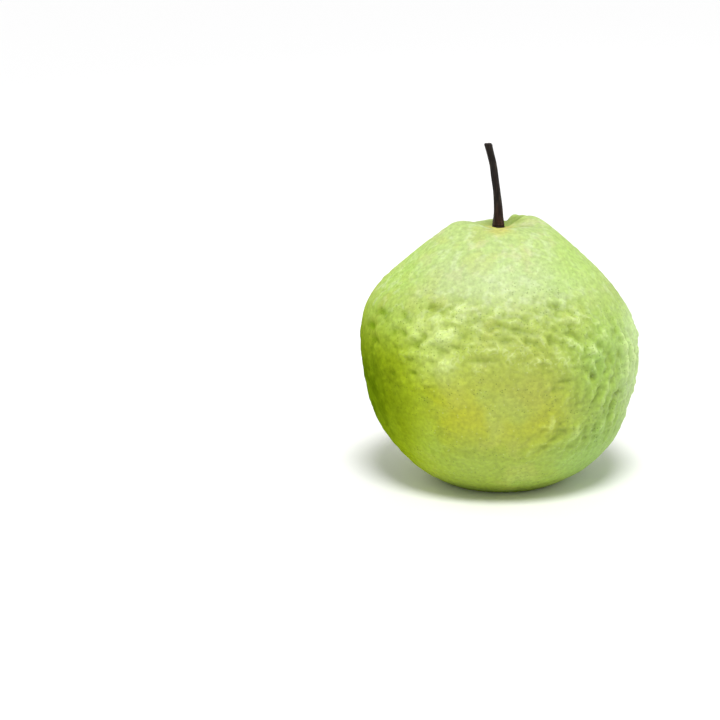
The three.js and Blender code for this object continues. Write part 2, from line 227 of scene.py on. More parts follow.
def spline(points, t):
    """A uniform Catmull-Rom curve through the points, at shares t of their count."""
    points = np.asarray(points, float)
    last = len(points) - 1
    start = np.minimum(np.floor(t * last).astype(int), last - 1)
    w = (t * last - start)[:, None]
    before, here = points[np.maximum(start - 1, 0)], points[start]
    there, after = points[start + 1], points[np.minimum(start + 2, last)]
    leave, arrive = (there - before) / 2, (after - here) / 2
    cubic = (2 * here - 2 * there + leave + arrive) * w ** 3
    square = (-3 * here + 3 * there - 2 * leave - arrive) * w ** 2
    return cubic + square + leave * w + here


SECTION = np.array(MERIDIAN) * (BODY_WIDTH / 2, BODY_HEIGHT)
STEPS = np.linspace(0, 1, 201)  # fine enough to measure along the section
TRACED = spline(SECTION, STEPS)
DISTANCE = np.r_[0, np.cumsum(np.linalg.norm(np.diff(TRACED, axis=0), axis=1))]
SKIN_LENGTH = DISTANCE[-1]
SLOPE_REACH = 1e-4 * SKIN_LENGTH  # each way, to measure the section's slope
POLE_REACH = 0.01  # within it the skin is level


def on_section(down):
    """Distance from the axis and height of the plain body, at distances down its skin."""
    return spline(SECTION, np.interp(down, DISTANCE, STEPS))


def place_on_body(azimuth, down):
    """Points of the plain round body, with the directions right, downhill and outward there."""
    azimuth, down = np.broadcast_arrays(np.atleast_1d(azimuth), np.atleast_1d(down))
    at = on_section(down)
    before, after = np.maximum(down - SLOPE_REACH, 0), np.minimum(down + SLOPE_REACH, SKIN_LENGTH)
    slope = on_section(after) - on_section(before)
    slope /= np.linalg.norm(slope, axis=1, keepdims=True)
    flat = np.zeros(azimuth.shape)
    radial = np.stack([np.sin(azimuth), -np.cos(azimuth), flat], 1)
    right = np.stack([np.cos(azimuth), np.sin(azimuth), flat], 1)
    up = np.array([0, 0, 1])
    point = at[:, :1] * radial + at[:, 1:] * up
    downhill = slope[:, :1] * radial + slope[:, 1:] * up
    outward = -slope[:, 1:] * radial + slope[:, :1] * up
    return point, right, downhill, outward


def spot_on_body(degrees, down):
    """One point of the plain round body, from its azimuth and its distance down the skin."""
    return place_on_body(math.radians(degrees), down)[0][0]


def lift_of(form, points):
    """How far one mound or dent lifts the skin at each point."""
    azimuth, down, turn, length, width, rise = form
    middle, right, downhill, outward = (v[0] for v in place_on_body(math.radians(azimuth), down))
    offset = points - middle
    cos, sin = math.cos(math.radians(turn)), math.sin(math.radians(turn))
    along = (offset @ right * cos - offset @ downhill * sin) / length
    across = (offset @ right * sin + offset @ downhill * cos) / width
    off = offset @ outward / (FORM_DEPTH * max(length, width) + FORM_DEPTH_MORE)
    return rise * np.exp(-along ** 2 - across ** 2 - off ** 2)


def draws(seed):
    """Evenly spread numbers from 0 to 1, the same on each run, by a linear congruential rule."""
    state = seed
    while True:
        state = (state * 1664525 + 1013904223) % 2 ** 32
        yield state / 2 ** 32


def sum_waves(points, band, seed, waves, spacing, band_spacing):
    """A sum of plane waves that each also run along the band, about 1 in size on average. Their
    spacings are 0.7 to 1.3 times the one given."""
    draw = draws(seed)
    total = np.zeros(len(points))
    for _ in range(waves):
        height = 2 * next(draw) - 1
        turn = 2 * math.pi * next(draw)
        flat = math.sqrt(1 - height * height)
        pace = 2 * math.pi / (spacing * (0.7 + 0.6 * next(draw)))
        vector = pace * np.array([flat * math.cos(turn), flat * math.sin(turn), height])
        band_pace = (2 * next(draw) - 1) * 2 * math.pi / band_spacing
        total += np.cos(points @ vector + band_pace * band + 2 * math.pi * next(draw))
    return total * math.sqrt(2 / waves)


def smoothstep(x, low, high):
    """0 at low and 1 at high, with a soft step between them."""
    t = np.clip((x - low) / (high - low), 0, 1)
    return t * t * (3 - 2 * t)


def lumpiness(points, azimuth, down):
    """How far the folds, lumps, wrinkles and ripples lift the skin at each point."""
    arch, aside = (
        np.linalg.norm(points - spot_on_body(*spot), axis=1) for spot in (BELLY, CALM)
    )
    side = np.sin(azimuth) ** SIDES_EDGE
    zone = smoothstep(down - SIDES_START * side, RELIEF_START, RELIEF_FULL)
    zone *= 1 - smoothstep(down, RELIEF_FADE, RELIEF_END)
    zone *= 1 - np.where(points[:, 0] < 0, *SIDES_CALM) * side
    zone *= 1 - np.exp(-(arch / BELLY_RADIUS) ** BELLY_EDGE)
    zone *= 1 - CALM_SHARE * np.exp(-(aside / CALM_RADIUS) ** CALM_EDGE)
    arched = smoothstep(points[:, 0], ARCS_START, ARCS_FULL)
    band = arched * arch + (1 - arched) * (BELLY[1] - down)
    phase = 2 * math.pi * band / FOLDS_SPACING + FOLDS_WANDER * sum_waves(points, band, **WANDER)
    lumps = sum_waves(points, band, **LUMPS)
    folds = (0.5 + 0.5 * np.cos(phase)) ** 2 * smoothstep(lumps, FOLDS_GONE, FOLDS_WHOLE)
    lift = FOLDS_RISE * (folds - FOLDS_MEAN) + LUMPS_RISE * lumps
    lift += WRINKLES_RISE * sum_waves(points, band, **WRINKLES)
    ripples = sum_waves(points / (RIPPLES_STRETCH, RIPPLES_STRETCH, 1), band, **RIPPLES)
    return zone * lift + np.maximum(zone, RIPPLES_EVERYWHERE) * RIPPLES_RISE * ripples


def skin(azimuth, down):
    """Points of the skin about the stem's axis, and how far its folds and lumps lift it."""
    body, _, _, outward = place_on_body(azimuth, down)
    at_pole = (down < POLE_REACH) | (down > SKIN_LENGTH - POLE_REACH)
    outward[at_pole, :2] = 0
    outward /= np.linalg.norm(outward, axis=1, keepdims=True)
    swell = sum(lift_of(form, body) for form in SWELLINGS)
    relief = sum(lift_of(form, body) for form in CREASES + DENTS + BUMPS + FOLDS + FINE_FORMS)
    relief += lumpiness(body, azimuth, down)
    points = body + outward * (swell + relief)[:, None]
    points[:, 2] = np.maximum(points[:, 2], 0)
    return points, relief


def grid(rows, sides):
    """Azimuth and row value at each vertex of a closed turned mesh, poles included."""
    turns = np.linspace(0, 2 * math.pi, sides, endpoint=False)
    row, turn = np.meshgrid(rows[1:-1], turns, indexing="ij")
    azimuth = np.r_[0, turn.ravel(), 0]
    return azimuth, np.r_[rows[0], row.ravel(), rows[-1]]


def grid_faces(row_count, sides):
    """Faces of that mesh, facing out where its rows run down from the top."""
    last = 1 + (row_count - 2) * sides
    faces = []
    for side in range(sides):
        after = (side + 1) % sides
        faces.append((0, 1 + side, 1 + after))
        for row in range(row_count - 3):
            top = 1 + row * sides
            faces.append((top + side, top + sides + side, top + sides + after, top + after))
        bottom = last - sides
        faces.append((bottom + side, last, bottom + after))
    return faces


# Places about the stem's axis, which meets the ground at the middle of the resting ring.
STEM_FOOT = np.array([-0.9, 0, 86.6])
OCHRE_PATCH = STEM_FOOT + (0.3, -10.5, 0.8)  # on the rim in front of the foot
OLIVE_SHADE_PATCH = (9, 69)  # azimuth and distance down of the middle of the painted shade, on the belly
CALYX_GAP = 0.3  # between its top and the ceiling of the blossom-end hollow
CALYX_TOP = MERIDIAN[-1][1] * BODY_HEIGHT - CALYX_GAP
ROOT_LEVEL = 0.01  # how level the corners of the solid stem's root are


def axis_shift():
    """From the stem's axis to the origin: how far the solid stem's root stands from its place."""
    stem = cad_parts["stem"]
    corners = np.array([stem.matrix_world @ corner.co for corner in stem.data.vertices]) / MM
    root = corners[corners[:, 2] < corners[:, 2].min() + ROOT_LEVEL]
    middle = (root.min(0) + root.max(0)) / 2
    return np.array([middle[0] - STEM_FOOT[0], middle[1] - STEM_FOOT[1], 0])


SHIFT = axis_shift()

# ---- Materials -------------------------------------------------------------------------------


def linear(hex_colour):
    """An sRGB hex value as linear red, green, blue and alpha."""
    parts = [int(hex_colour[i:i + 2], 16) / 255 for i in (1, 3, 5)]
    return [c / 12.92 if c <= 0.04045 else ((c + 0.055) / 1.055) ** 2.4 for c in parts] + [1]


def add(tree, kind, inputs=(), **settings):
    """Adds a node, sets its own settings, and gives each input a value or a link."""
    made = tree.nodes.new(kind)
    for name, value in settings.items():
        setattr(made, name, value)
    for socket, value in dict(inputs).items():
        if isinstance(value, bpy.types.NodeSocket):
            tree.links.new(value, made.inputs[socket])
        else:
            made.inputs[socket].default_value = value
    return made


# The sockets of a colour mix that share their names with others.
MIX_FACTOR, MIX_BELOW, MIX_ABOVE, MIX_RESULT = 0, 6, 7, 2


def new_material(name):
    """An empty material and its node tree."""
    material = bpy.data.materials.new(name)
    material.use_nodes = True
    tree = material.node_tree
    tree.nodes.clear()
    return material, tree


def paint(tree, colour, reads, layers):
    """Lays colours over a first one, each where all its masks are full. A mask says what it reads,
    where it is empty and where it is full, in metres where it reads a place or a distance."""
    for shade, strength, masks in layers:
        cover = strength
        for read, empty, full in masks:
            ramp = add(tree, "ShaderNodeMapRange", {
                "Value": reads[read], "From Min": empty, "From Max": full, "To Max": cover,
            }, interpolation_type="SMOOTHSTEP")
            cover = ramp.outputs["Result"]
        mix = add(tree, "ShaderNodeMix", {
            MIX_FACTOR: cover, MIX_BELOW: colour, MIX_ABOVE: linear(shade),
        }, data_type="RGBA")
        colour = mix.outputs[MIX_RESULT]
    return colour


def guava_skin():
    """The waxy skin of a firm guava, whose wax gives it a broad satin sheen. It is pale above,
    yellower low down in front, greener on its right and deep, cloudy green low on its left: its
    own green, deepened with painted shade. It has dark pores and pale flecks. Painted highlights
    lie on its folds, along thin crinkle lines, on the shoulder, on the far right and on the left
    of the belt; painted shade lies as green in its dents, in the creases and the hollow by the stem
    and as olive on the belly. It is ochre where the stem grows out and on the rim in front of it."""
    material, tree = new_material("guava_skin")
    place = add(tree, "ShaderNodeTexCoord").outputs["Object"]
    across, behind, height = add(tree, "ShaderNodeSeparateXYZ", {"Vector": place}).outputs
    relief = add(tree, "ShaderNodeAttribute", attribute_name="relief")
    reads = {
        "across": across, "behind": behind, "height": height, "relief": relief.outputs["Fac"],
    }
    spots = (  # paint round each of them reads the distance from it
        ("from stem", STEM_FOOT),
        ("from ochre patch", OCHRE_PATCH),
        ("from olive shade patch", spot_on_body(*OLIVE_SHADE_PATCH)),
        ("from calyx", (0, 0, CALYX_TOP)),
    )
    for name, middle in spots:
        distance = add(tree, "ShaderNodeVectorMath", {
            0: place, 1: (np.array(middle) + SHIFT) * MM,
        }, operation="DISTANCE")
        reads[name] = distance.outputs["Value"]

    # Cloudy noises: the size of their patches in mm, and their detail.
    for name, size, detail in (
        ("green clouds", 22, 2), ("ochre clouds", 13, 2), ("rosy clouds", 7, 2),
        ("pale clouds", 4, 2), ("pored patches", 12, 1), ("mottling", 1.3, 3),
        ("grain", 0.8, 2), ("crinkles", 2.6, 1),
    ):
        noise = add(tree, "ShaderNodeTexNoise", {
            "Vector": place, "Scale": 1 / (size * MM), "Detail": detail,
        })
        reads[name] = noise.outputs["Fac"]

    # Round spots with soft edges, some fainter than others: their spacing and radius in mm, and
    # the share of them that is kept. Real pores are half as wide, but would be lost between two
    # pixels.
    for name, spacing, radius, kept in (("pores", 1, 0.24, 0.85), ("flecks", 1.5, 0.3, 0.5)):
        cells = add(tree, "ShaderNodeTexVoronoi", {"Vector": place, "Scale": 1 / (spacing * MM)})
        chance = add(tree, "ShaderNodeSeparateColor", {"Color": cells.outputs["Color"]})
        fullness = add(tree, "ShaderNodeMapRange", {
            "Value": chance.outputs["Red"], "From Min": kept, "From Max": 0.4 * kept,
        })
        spot = add(tree, "ShaderNodeMapRange", {
            "Value": cells.outputs["Distance"], "From Min": 1.25 * radius / spacing,
            "From Max": 0.5 * radius / spacing, "To Max": fullness.outputs["Result"],
        }, interpolation_type="SMOOTHSTEP")
        reads[name] = spot.outputs["Result"]

    colour = paint(tree, linear("#9eb43a"), reads, [
        # the ripe yellow low in front, the paler middle and the palest shoulders
        ("#b4b81e", 1, [("behind", -0.006, -0.028), ("height", 0.014, 0.036)]),
        ("#a7b94b", 1, [("height", 0.028, 0.056)]),
        ("#b1c878", 1, [("height", 0.052, 0.084)]),
        # clouds of other tints
        ("#a6cb68", 0.35, [("green clouds", 0.50, 0.66)]),
        ("#cfdcae", 0.35, [("pale clouds", 0.50, 0.64), ("height", 0.054, 0.068)]),
        ("#b9bd57", 0.30, [("ochre clouds", 0.52, 0.64)]),
        ("#c9c592", 0.35, [("rosy clouds", 0.54, 0.66), ("height", 0.060, 0.076)]),
        # painted highlight: a pale band on the middle of the shoulder, where the broad sheen lies
        ("#bccb98", 0.45, [("height", 0.064, 0.073), ("height", 0.084, 0.074),
                          ("across", -0.036, -0.016), ("across", 0.036, 0.020)]),
        # the greener right side and the green at both ends of the shoulder
        ("#8ab04a", 0.75, [("across", 0.010, 0.034), ("height", 0.080, 0.050)]),
        ("#a3c653", 0.6, [("across", 0.012, 0.024), ("height", 0.066, 0.076)]),
        ("#a3c653", 0.35, [("across", -0.016, -0.028), ("height", 0.066, 0.076)]),
        # painted highlights: pale on the far right, where light from behind catches the edge, and
        # on the left of the belt, where the broad sheen reaches the lumps
        ("#c6dca0", 0.5, [("across", 0.037, 0.045), ("height", 0.070, 0.056)]),
        ("#cfdf96", 0.45, [("across", -0.035, -0.024), ("across", -0.010, -0.020),
                          ("height", 0.040, 0.048), ("height", 0.066, 0.058)]),
        # darker olive on the belly: painted shade where the light falls off low down
        ("#98a23e", 0.45, [("from olive shade patch", 0.024, 0.004)]),
        # from yellow green to deep green low on the left, then its darker clouds: partly the skin's
        # own green, partly painted shade
        ("#a6ba16", 0.8, [("across", -0.010, -0.032), ("height", 0.066, 0.046),
                         ("behind", 0.030, 0.006)]),
        ("#65800a", 0.95, [("across", -0.020, -0.046), ("height", 0.074, 0.034),
                          ("behind", 0.036, -0.004)]),
        ("#3c5400", 0.55, [("across", -0.024, -0.047), ("height", 0.064, 0.036),
                          ("behind", 0.026, -0.004), ("rosy clouds", 0.36, 0.60)]),
        # greener, darker dents, partly the skin's own green and partly painted shade, the more so
        # on the left, and paler folds as painted highlights
        ("#869e1c", 0.5, [("relief", -0.1, -0.9)]),
        ("#668c00", 0.5, [("relief", -0.1, -0.8), ("across", -0.022, -0.038)]),
        ("#d3e3a2", 0.2, [("relief", 0.2, 0.9), ("across", -0.034, -0.012)]),
        # painted highlights: thin pale crinkle lines where the belt is raised, as glints on its
        # ridges
        ("#e0ecb6", 0.20, [("crinkles", 0.42, 0.49), ("crinkles", 0.58, 0.51),
                          ("height", 0.040, 0.054), ("relief", -0.2, 0.5),
                          ("across", -0.038, -0.016), ("across", 0.044, 0.026)]),
        # pale flecks and dark pores
        ("#dcebb6", 0.15, [("flecks", 0, 1), ("across", -0.036, -0.014)]),
        ("#5c7018", 0.65, [("pores", 0, 1), ("pored patches", 0.38, 0.54),
                          ("height", 0.084, 0.068)]),
        # green behind the stem, painted shade in the hollow there; ochre round its foot and on the
        # rim; and green in the creases, painted shade
        ("#98ac3c", 0.7, [("from stem", 0.0140, 0.0060), ("behind", 0.0005, 0.0035)]),
        ("#c9b84e", 0.6, [("from stem", 0.0070, 0.0025)]),
        ("#d0c050", 0.5, [("from ochre patch", 0.0075, 0.0020), ("across", -0.0060, -0.0010),
                         ("across", 0.0060, 0.0010)]),
        ("#789838", 0.45, [("relief", -0.4, -1.4), ("from stem", 0.0180, 0.0130)]),
        # brown in the blossom-end hollow
        ("#8d8440", 0.70, [("from calyx", 0.0120, 0.0070)]),
    ])

    # The skin is lighter and darker from place to place, and is painted lighter on its folds and
    # darker in its dents: painted light and shade.
    shade = add(tree, "ShaderNodeMapRange", {
        "Value": reads["mottling"], "From Min": 0.3, "From Max": 0.7,
        "To Min": 0.84, "To Max": 1.14,
    })
    rise = add(tree, "ShaderNodeMapRange", {
        "Value": reads["relief"], "From Min": -1, "From Max": 1, "To Min": 0.88, "To Max": 1.16,
    })
    light = add(tree, "ShaderNodeMath", {
        0: shade.outputs["Result"], 1: rise.outputs["Result"],
    }, operation="MULTIPLY")
    mottled = add(tree, "ShaderNodeVectorMath", {
        0: colour, "Scale": light.outputs["Value"],
    }, operation="SCALE")

    # The wax thins out towards the deep green side.
    wax = add(tree, "ShaderNodeMapRange", {
        "Value": across, "From Min": -0.004, "From Max": -0.030, "To Min": 0.65, "To Max": 0,
    }, interpolation_type="SMOOTHSTEP")

    grain = add(tree, "ShaderNodeMath", {
        0: reads["grain"], 1: reads["pores"],
    }, operation="SUBTRACT")
    bump = add(tree, "ShaderNodeBump", {
        "Height": grain.outputs["Value"], "Strength": 0.45, "Distance": 0.12 * MM,
    })
    shader = add(tree, "ShaderNodeBsdfPrincipled", {
        "Base Color": mottled.outputs["Vector"], "Roughness": 0.58, "IOR": 1.45,
        "Specular IOR Level": wax.outputs["Result"],
        # moist flesh under the skin lets a little light through
        "Subsurface Weight": 0.06, "Subsurface Radius": (0.6, 1.0, 0.25),
        "Subsurface Scale": 1 * MM, "Normal": bump.outputs["Normal"],
    })
    add(tree, "ShaderNodeOutputMaterial", {"Surface": shader.outputs["BSDF"]})
    return material


def stem_bark():
    """Dry woody bark: nearly black, matte, streaked along its length, redder and scaly at the
    foot, with a dark, weathered cut end."""
    material, tree = new_material("stem_bark")
    place = add(tree, "ShaderNodeTexCoord").outputs["Object"]
    height = add(tree, "ShaderNodeSeparateXYZ", {"Vector": place}).outputs["Z"]
    cut = add(tree, "ShaderNodeAttribute", attribute_name="cut")
    reads = {"height": height, "cut": cut.outputs["Fac"]}
    # Noises: the width of their patches in mm, and how many times longer they are upwards.
    for name, size, stretch in (("streaks", 0.55, 9), ("scales", 0.9, 1.5), ("blotches", 4, 1)):
        drawn = add(tree, "ShaderNodeVectorMath", {
            0: place, 1: (1, 1, 1 / stretch),
        }, operation="MULTIPLY")
        noise = add(tree, "ShaderNodeTexNoise", {
            "Vector": drawn.outputs["Vector"], "Scale": 1 / (size * MM), "Detail": 3,
        })
        reads[name] = noise.outputs["Fac"]
    foot = STEM_FOOT[2] * MM
    colour = paint(tree, linear("#18100d"), reads, [
        ("#371f18", 0.8, [("height", foot + 0.010, foot + 0.001)]),  # the redder foot
        ("#26221c", 0.5, [("blotches", 0.48, 0.62)]),  # greyer patches
        ("#4c3a2f", 0.45, [("streaks", 0.52, 0.68)]),  # brown ridges
        ("#0e0907", 0.8, [("streaks", 0.46, 0.34)]),  # dark grooves
        ("#5e3c2c", 0.4, [("scales", 0.56, 0.70), ("height", foot + 0.010, foot)]),  # scales
        ("#0d0806", 0.8, [("height", foot + 0.0009, foot + 0.0002)]),  # the dark joint
        ("#33241c", 0.8, [("cut", 0.3, 0.9)]),  # the cut end
    ])
    bump = add(tree, "ShaderNodeBump", {
        "Height": reads["streaks"], "Strength": 0.5, "Distance": 0.2 * MM,
    })
    shader = add(tree, "ShaderNodeBsdfPrincipled", {
        "Base Color": colour, "Roughness": 0.65, "Specular IOR Level": 0.2,
        "Normal": bump.outputs["Normal"],
    })
    add(tree, "ShaderNodeOutputMaterial", {"Surface": shader.outputs["BSDF"]})
    return material


def calyx_dried():
    """Dried sepals and stamens: brittle and matte, olive at the root, tan within, and nearly
    black towards the curled tips."""
    material, tree = new_material("calyx_dried")
    place = add(tree, "ShaderNodeTexCoord").outputs["Object"]
    reads = {}
    for name in ("tip", "inside"):
        reads[name] = add(tree, "ShaderNodeAttribute", attribute_name=name).outputs["Fac"]
    # Noises: the width of their patches in mm, and how many times longer they are upwards.
    for name, size, stretch in (("veins", 0.5, 5), ("blotches", 1.8, 1)):
        drawn = add(tree, "ShaderNodeVectorMath", {
            0: place, 1: (1, 1, 1 / stretch),
        }, operation="MULTIPLY")
        noise = add(tree, "ShaderNodeTexNoise", {
            "Vector": drawn.outputs["Vector"], "Scale": 1 / (size * MM), "Detail": 3,
        })
        reads[name] = noise.outputs["Fac"]
    colour = paint(tree, linear("#6f6a2b"), reads, [
        ("#5e4428", 0.9, [("tip", 0.10, 0.40)]),  # brown past the root
        ("#8f6c42", 0.8, [("inside", 0.4, 0.6)]),  # tan within
        ("#a88350", 0.45, [("blotches", 0.50, 0.66)]),  # paler patches
        ("#2a1b14", 0.6, [("veins", 0.50, 0.36)]),  # dark veins
        ("#1a110d", 0.92, [("tip", 0.45, 0.85)]),  # scorched tips
    ])
    bump = add(tree, "ShaderNodeBump", {
        "Height": reads["veins"], "Strength": 0.6, "Distance": 0.25 * MM,
    })
    shader = add(tree, "ShaderNodeBsdfPrincipled", {
        "Base Color": colour, "Roughness": 0.8, "Normal": bump.outputs["Normal"],
    })
    add(tree, "ShaderNodeOutputMaterial", {"Surface": shader.outputs["BSDF"]})
    return material


def white_laminate():
    """The matte white table top, which takes soft shadows and shows no sheen."""
    material, tree = new_material("white_laminate")
    shader = add(tree, "ShaderNodeBsdfPrincipled", {
        "Base Color": linear("#f4f4f4"), "Roughness": 0.6,
    })
    add(tree, "ShaderNodeOutputMaterial", {"Surface": shader.outputs["BSDF"]})
    return material


# ---- Pieces ----------------------------------------------------------------------------------


def new_piece(name, points, faces, material, attributes=()):
    """A smooth-shaded mesh object from points in millimetres about the stem's axis."""
    mesh = bpy.data.meshes.new(name)
    mesh.from_pydata((points + SHIFT) * MM, [], faces)
    mesh.shade_smooth()
    for label, values in dict(attributes).items():
        mesh.attributes.new(label, "FLOAT", "POINT").data.foreach_set("value", values)
    mesh.materials.append(material)
    piece = bpy.data.objects.new(name, mesh)
    bpy.context.scene.collection.objects.link(piece)
    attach(piece, "root")
    return piece


# The skin rises in a thin collar round the stem's foot and drops into the socket that it sits in.
COLLAR_RISE = 0.35
COLLAR_ASIDE = 0.7  # from the foot to its crest
COLLAR_WIDTH = 0.7
SOCKET_GAP = 0.2  # under the stem's root
SOCKET_INNER = 0.25  # how far inside the foot's edge the socket is full depth
SOCKET_OUTER = 0.2  # how far outside it the socket starts


def make_fruit():
    """The skin of the whole fruit, with the lift of its folds and lumps for the paint."""
    rows = np.r_[
        np.linspace(0, SKIN_TOP, SKIN_TOP_ROWS, endpoint=False),
        np.linspace(SKIN_TOP, SKIN_LENGTH, SKIN_ROWS),
    ]
    azimuth, down = grid(rows, SKIN_SIDES)
    points, relief = skin(azimuth, down)
    beside = np.hypot(points[:, 0] - STEM_FOOT[0], points[:, 1] - STEM_FOOT[1])
    near_stem = down < SKIN_TOP
    foot = STEM_FOOT_WIDTH / 2
    collar = COLLAR_RISE * np.exp(-((beside - foot - COLLAR_ASIDE) / COLLAR_WIDTH) ** 2)
    outside = smoothstep(beside, foot - SOCKET_INNER, foot + SOCKET_OUTER)
    socket = (STEM_ROOT_DEPTH + SOCKET_GAP) * (1 - outside)
    points[:, 2] += np.where(near_stem, collar - socket, 0)
    fruit = new_piece("fruit_skin", points, grid_faces(len(rows), SKIN_SIDES), guava_skin(),
                      {"relief": relief})
    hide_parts("fruit")


# ---- The stem --------------------------------------------------------------------------------

# Height above the foot as a share of the length, and width there.
STEM_TAPER = [
    (0, STEM_FOOT_WIDTH), (0.06, 0.9 * STEM_FOOT_WIDTH), (0.16, 0.76 * STEM_FOOT_WIDTH),
    (0.4, 1.06 * STEM_WIDTH), (0.7, STEM_WIDTH), (0.93, 1.04 * STEM_WIDTH),
    (0.985, STEM_TOP_WIDTH),
]
STEM_ROOT_RADIUS = 0.34 * STEM_FOOT_WIDTH
STEM_BEND = 2.2  # how late along its length the stem leans: 1 would be a straight slant
STEM_SIDES = 72
STEM_ROWS = 110
CUT_ROWS = 10
CUT_RADIUS = 0.42 * STEM_TOP_WIDTH
CUT_HOLLOW = 0.14  # how far the middle of the cut end is sunk
CUT_EDGE = 4  # the higher, the flatter the cut end and the sharper its rim
CUT_ROUGHNESS = 0.4  # of the bark's
BARK = {"seed": 5, "waves": 24, "spacing": 1.1, "band_spacing": 1}
BARK_STRETCH = 9  # how many times longer than wide its ridges are
BARK_RISE = 0.055
BARK_START = (-0.2, 0.4)  # heights above the foot where it starts and is full
RINGS_RISE = 0.07  # how far the rings round the foot stand out
RINGS_SPACING = 0.9
RINGS_REACH = 1.6  # how far up they fade


def make_stem():
    """The cut stem, from the sunk middle of its cut end down to its root in the socket."""
    taper = spline([(width / 2, up * STEM_LENGTH) for up, width in STEM_TAPER],
                   np.linspace(1, 0, STEM_ROWS))
    across = np.linspace(0, 1, CUT_ROWS)
    sunk = CUT_HOLLOW * (1 - across ** CUT_EDGE)
    cut_end = np.stack([CUT_RADIUS * across, STEM_LENGTH - sunk], 1)
    root = [(STEM_ROOT_RADIUS, -STEM_ROOT_DEPTH), (0, -STEM_ROOT_DEPTH)]
    profile = np.vstack([cut_end, taper, root])
    azimuth, row = grid(np.arange(len(profile)), STEM_SIDES)
    radius, height = profile[row.astype(int)].T
    around = np.stack([np.sin(azimuth), -np.cos(azimuth)], 1)
    place = np.c_[radius[:, None] * around, height / BARK_STRETCH]
    bark = BARK_RISE * sum_waves(place, np.zeros(len(place)), **BARK)
    rings = RINGS_RISE * np.cos(2 * math.pi * height / RINGS_SPACING)
    rings *= np.exp(-(height / RINGS_REACH) ** 2)
    on_bark = smoothstep(height, *BARK_START) * (row >= CUT_ROWS)
    radius = radius + on_bark * (bark + rings)
    up = np.clip(height, 0, None) / STEM_LENGTH
    points = np.c_[radius[:, None] * around, height] + STEM_FOOT
    points[:, 0] -= STEM_LEAN * up ** STEM_BEND
    points[:, 2] += (row < CUT_ROWS) * CUT_ROUGHNESS * bark
    stem = new_piece("stem_bark", points, grid_faces(len(profile), STEM_SIDES), stem_bark(),
                     {"cut": (row < CUT_ROWS - 1).astype(float)})
    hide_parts("stem")


# ---- The calyx -------------------------------------------------------------------------------

# From its top round the rim into the cup: distance from the axis as a share of half the width,
# then how far down as a share of the depth.
CALYX_SECTION = [
    (0, 0), (0.4, 0.05), (0.62, 0.27), (0.74, 0.6), (0.78, 1), (0.66, 1), (0.52, 0.6),
    (0.3, 0.32), (0, 0.27),
]
CALYX_SIDES = 200
CALYX_ROWS = 81
CALYX_INSIDE = 0.6  # the share of its rows after which they are inside the cup
CALYX_ROOTED = 0.5  # how far its top grows into the fruit
CALYX_ROOT_REACH = 0.12  # how far down from its top, as a share of the depth, as are the next two
SEPAL_START = 0.3
SEPAL_CUT = 0.5  # how deep the cuts between the sepals are
SEPAL_ROUND = 0.7  # below 1 the sepals are broad with narrow cuts
SEPAL_CURL = 0.28  # how much further out the tips reach
SEPAL_SPREAD = 0.12  # how much the sepals differ in length
SEPALS_SEED = 23
CRINKLES = {"seed": 3, "waves": 30, "spacing": 1.6, "band_spacing": 1}
CRINKLES_STRETCH = 0.4  # below 1 they run up and down
CRINKLES_RISE = 0.12
STAMENS = 34
STAMENS_SEED = 41
STAMEN_LENGTH = 3.6
STAMEN_WIDTH = 0.22
STAMEN_ROWS = 7
STAMEN_SIDES = 6
STAMEN_RING = 1.5  # how far from the axis they are rooted at most
STAMEN_ROOT = 0.25  # how far down they are rooted, as a share of the calyx's depth
STAMEN_LEAN = 0.5  # how far the outermost lean out over their length
STAMEN_BEND = 0.6  # how far all bend out besides
STAMEN_STRAY = 0.7  # and to either side
STAMEN_TIP = 0.5  # they are coloured like the inside of a sepal halfway to its tip


def sepal_cup():
    """Points, faces, and how far each point is towards a sepal's tip and inside the cup."""
    t = np.linspace(0, 1, CALYX_ROWS)
    profile = spline(CALYX_SECTION, t)
    azimuth, row = grid(np.arange(CALYX_ROWS), CALYX_SIDES)
    out, drop = profile[row.astype(int)].T
    around = np.stack([np.sin(azimuth), -np.cos(azimuth)], 1)
    tip = np.clip((drop - SEPAL_START) / (1 - SEPAL_START), 0, 1)
    sepal = np.abs(np.sin(SEPALS * (azimuth + math.pi / 2) / 2 + math.pi / 2)) ** SEPAL_ROUND
    draw = draws(SEPALS_SEED)
    lengths = np.array([SEPAL_SPREAD * (next(draw) - 1) for _ in range(SEPALS)])
    which = np.floor(SEPALS * azimuth / (2 * math.pi) + 0.25).astype(int) % SEPALS
    drop = drop - tip * ((1 - sepal) * SEPAL_CUT - lengths[which] * sepal)
    radius = out * (1 + SEPAL_CURL * sepal * tip ** 2) * CALYX_WIDTH / 2
    points = np.c_[radius[:, None] * around, CALYX_TOP - drop * CALYX_DEPTH]
    place = points * (1, 1, CRINKLES_STRETCH)
    crinkle = CRINKLES_RISE * sum_waves(place, np.zeros(len(place)), **CRINKLES)
    outward = 1 - SEPAL_START * tip
    points[:, :2] *= (1 + outward * crinkle / (radius + 1))[:, None]  # little near the axis
    points[:, 2] += CALYX_ROOTED * np.exp(-(drop / CALYX_ROOT_REACH) ** 2)
    inside = (row > CALYX_INSIDE * CALYX_ROWS).astype(float)
    return points, grid_faces(CALYX_ROWS, CALYX_SIDES), tip, inside


def stamen(foot, lean, bend):
    """Points of one dried filament, hanging and bending away from the axis. It is thickest near
    its foot and thins out to both ends."""
    share = np.linspace(0, 1, STAMEN_ROWS)
    azimuth, row = grid(np.arange(STAMEN_ROWS), STAMEN_SIDES)
    radius = STAMEN_WIDTH / 2 * np.sin(math.pi * (0.08 + 0.84 * share) ** 0.6) ** 0.5
    radius[[0, -1]] = 0
    along = share[row.astype(int)]
    middle = np.outer(along, lean) + np.outer(along ** 2, bend) + foot
    middle[:, 2] -= STAMEN_LENGTH * along
    around = np.stack([np.sin(azimuth), -np.cos(azimuth), 0 * azimuth], 1)
    return middle + radius[row.astype(int)][:, None] * around


